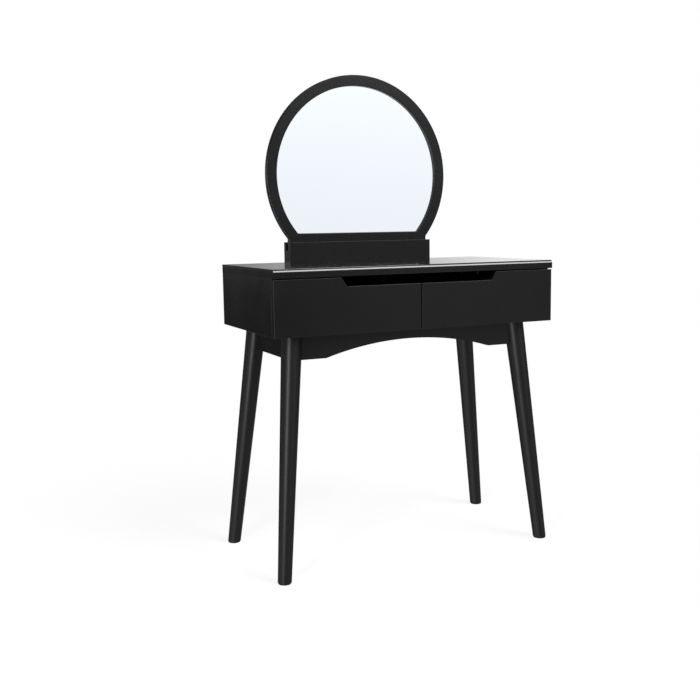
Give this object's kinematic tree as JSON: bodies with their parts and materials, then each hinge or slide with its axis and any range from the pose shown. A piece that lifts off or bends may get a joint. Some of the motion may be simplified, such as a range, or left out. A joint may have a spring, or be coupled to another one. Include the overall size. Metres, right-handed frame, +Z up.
{
  "type": "vanity table with mirror",
  "caption": "Black lacquered vanity table on splayed tapered legs, with side-by-side drawers that share a cut-out finger grip, an arched front apron and a round mirror set in a base block.",
  "frame": {"origin": "on the floor under the middle of the table", "axes": "+Z up; +X along the table's width, to the right for a person at the drawers; the drawer fronts face -Y"},
  "size_m": [0.8312, 0.4, 1.294],
  "materials": {
    "panel_lacquer": "satin black lacquer on fibreboard",
    "leg_lacquer": "satin black lacquer on turned hardwood",
    "bare_wood": "bare sawn pine",
    "drawer_foil": "matt black foil on fibreboard",
    "hardboard": "brown hardboard",
    "mirror_glass": "silvered float glass",
    "runner_steel": "black epoxy coat on pressed steel",
    "nylon": "natural white nylon",
    "zinc_steel": "bright zinc plate"
  },
  "bodies": {
    "table": {"top_board": "panel_lacquer", "left_side_panel": "panel_lacquer", "right_side_panel": "panel_lacquer", "bottom_panel": "panel_lacquer", "back_panel": "panel_lacquer", "centre_divider": "panel_lacquer", "cam_locks": "zinc_steel", "cam_bolts": "zinc_steel", "left_case_runners": "runner_steel", "right_case_runners": "runner_steel", "front_apron": "panel_lacquer", "rear_apron": "panel_lacquer", "left_apron": "panel_lacquer", "right_apron": "panel_lacquer", "front_left_leg": "leg_lacquer", "front_right_leg": "leg_lacquer", "rear_left_leg": "leg_lacquer", "rear_right_leg": "leg_lacquer", "front_left_corner_block": "bare_wood", "front_right_corner_block": "bare_wood", "rear_left_corner_block": "bare_wood", "rear_right_corner_block": "bare_wood", "leg_bolts": "zinc_steel", "frame_screws": "zinc_steel", "mirror_base_front": "panel_lacquer", "mirror_base_core": "panel_lacquer", "mirror_base_back": "panel_lacquer", "mirror_frame": "panel_lacquer", "mirror_glass": "mirror_glass", "mirror_backing": "hardboard", "backing_clips": "zinc_steel", "clip_screws": "zinc_steel", "mirror_foot_screws": "zinc_steel", "mirror_base_screws": "zinc_steel"},
    "left_drawer": {"left_drawer_front": "panel_lacquer", "left_drawer_left_wall": "drawer_foil", "left_drawer_right_wall": "drawer_foil", "left_drawer_back": "drawer_foil", "left_drawer_bottom": "drawer_foil", "left_drawer_runners": "runner_steel"},
    "left_drawer_wheels": {"left_drawer_rollers": "nylon"},
    "left_bay_wheels": {"left_case_rollers": "nylon"},
    "right_drawer": {"right_drawer_front": "panel_lacquer", "right_drawer_left_wall": "drawer_foil", "right_drawer_right_wall": "drawer_foil", "right_drawer_back": "drawer_foil", "right_drawer_bottom": "drawer_foil", "right_drawer_runners": "runner_steel"},
    "right_drawer_wheels": {"right_drawer_rollers": "nylon"},
    "right_bay_wheels": {"right_case_rollers": "nylon"}
  },
  "joints": [
    {"name": "left_drawer_slide", "type": "slide", "parent": "table", "child": "left_drawer", "axis": [0, -1, 0], "range_m": [0, 0.25]},
    {"name": "left_drawer_wheel_spin", "type": "hinge", "parent": "left_drawer", "child": "left_drawer_wheels", "pos_m": [-0.19625, 0.14, 0.6457], "axis": [1, 0, 0], "continuous": true},
    {"name": "left_bay_wheel_spin", "type": "hinge", "parent": "table", "child": "left_bay_wheels", "pos_m": [-0.19625, -0.169, 0.6457], "axis": [1, 0, 0], "continuous": true},
    {"name": "right_drawer_slide", "type": "slide", "parent": "table", "child": "right_drawer", "axis": [0, -1, 0], "range_m": [0, 0.25]},
    {"name": "right_drawer_wheel_spin", "type": "hinge", "parent": "right_drawer", "child": "right_drawer_wheels", "pos_m": [0.19625, 0.14, 0.6457], "axis": [1, 0, 0], "continuous": true},
    {"name": "right_bay_wheel_spin", "type": "hinge", "parent": "table", "child": "right_bay_wheels", "pos_m": [0.19625, -0.169, 0.6457], "axis": [1, 0, 0], "continuous": true}
  ],
  "couplings": [
    {"joint": "left_drawer_wheel_spin", "follows": "left_drawer_slide", "rad_per_m": 111.11},
    {"joint": "left_bay_wheel_spin", "follows": "left_drawer_slide", "rad_per_m": 111.11},
    {"joint": "right_drawer_wheel_spin", "follows": "right_drawer_slide", "rad_per_m": 111.11},
    {"joint": "right_bay_wheel_spin", "follows": "right_drawer_slide", "rad_per_m": 111.11}
  ]
}
